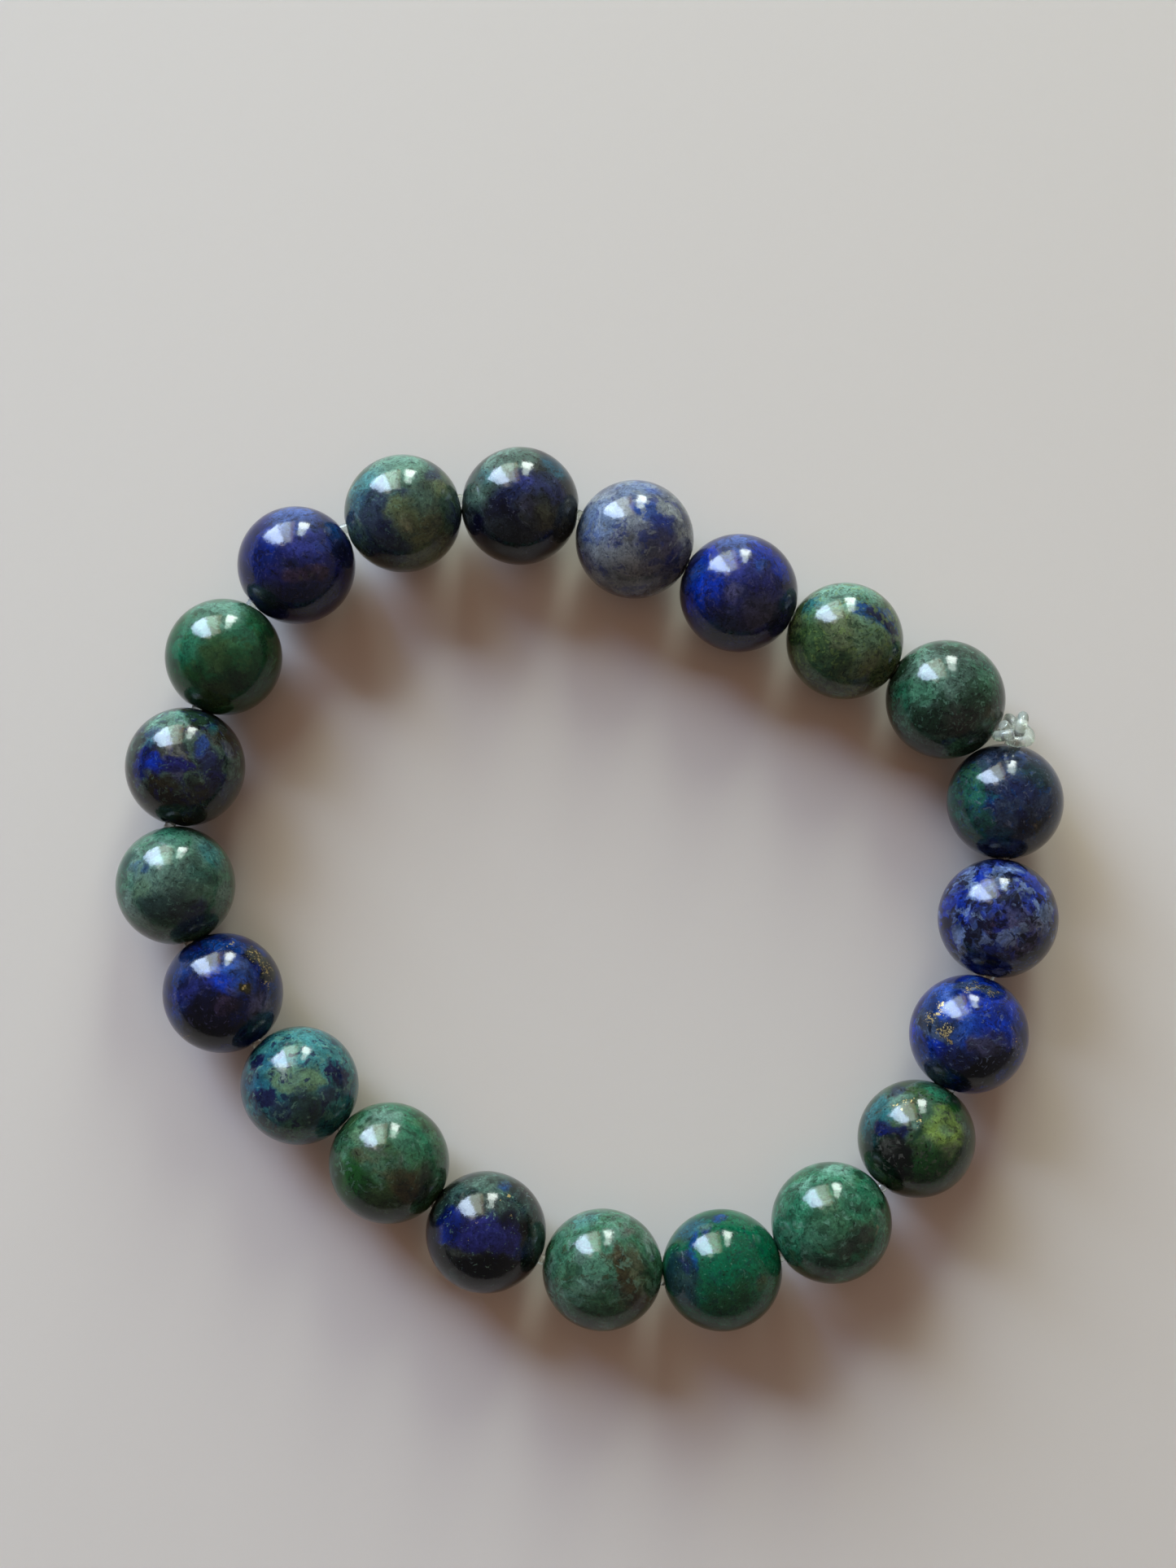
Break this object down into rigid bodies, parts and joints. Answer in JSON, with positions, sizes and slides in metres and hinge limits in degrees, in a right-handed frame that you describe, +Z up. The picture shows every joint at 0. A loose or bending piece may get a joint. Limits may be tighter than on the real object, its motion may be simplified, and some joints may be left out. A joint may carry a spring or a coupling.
{
  "type": "beaded stretch bracelet",
  "caption": "Stretch bracelet of round polished blue and green stone beads threaded on one clear knotted elastic, lying flat in an open ring.",
  "frame": {"origin": "middle of the bracelet's bounding rectangle, on the surface it lies on", "axes": "+Z up out of the ring; +X along the longer side of the ring; +Y along its shorter side; the knot is on the +X side"},
  "size_m": [0.064, 0.0596, 0.0081],
  "materials": {
    "olive_stone": "polished",
    "navy_stone": "polished",
    "pale_blue_stone": "polished",
    "royal_blue_stone": "polished",
    "green_stone": "polished",
    "teal_stone": "polished",
    "clear_elastic": "gloss"
  },
  "bodies": {
    "root": {"bead_01": "olive_stone", "bead_02": "navy_stone", "bead_03": "pale_blue_stone", "bead_04": "royal_blue_stone", "bead_05": "olive_stone", "bead_06": "green_stone", "bead_07": "teal_stone", "bead_08": "pale_blue_stone", "bead_09": "royal_blue_stone", "bead_10": "olive_stone", "bead_11": "green_stone", "bead_12": "teal_stone", "bead_13": "green_stone", "bead_14": "navy_stone", "bead_15": "green_stone", "bead_16": "teal_stone", "bead_17": "royal_blue_stone", "bead_18": "green_stone", "bead_19": "navy_stone", "bead_20": "green_stone", "bead_21": "royal_blue_stone", "elastic_cord": "clear_elastic"}
  },
  "joints": []
}
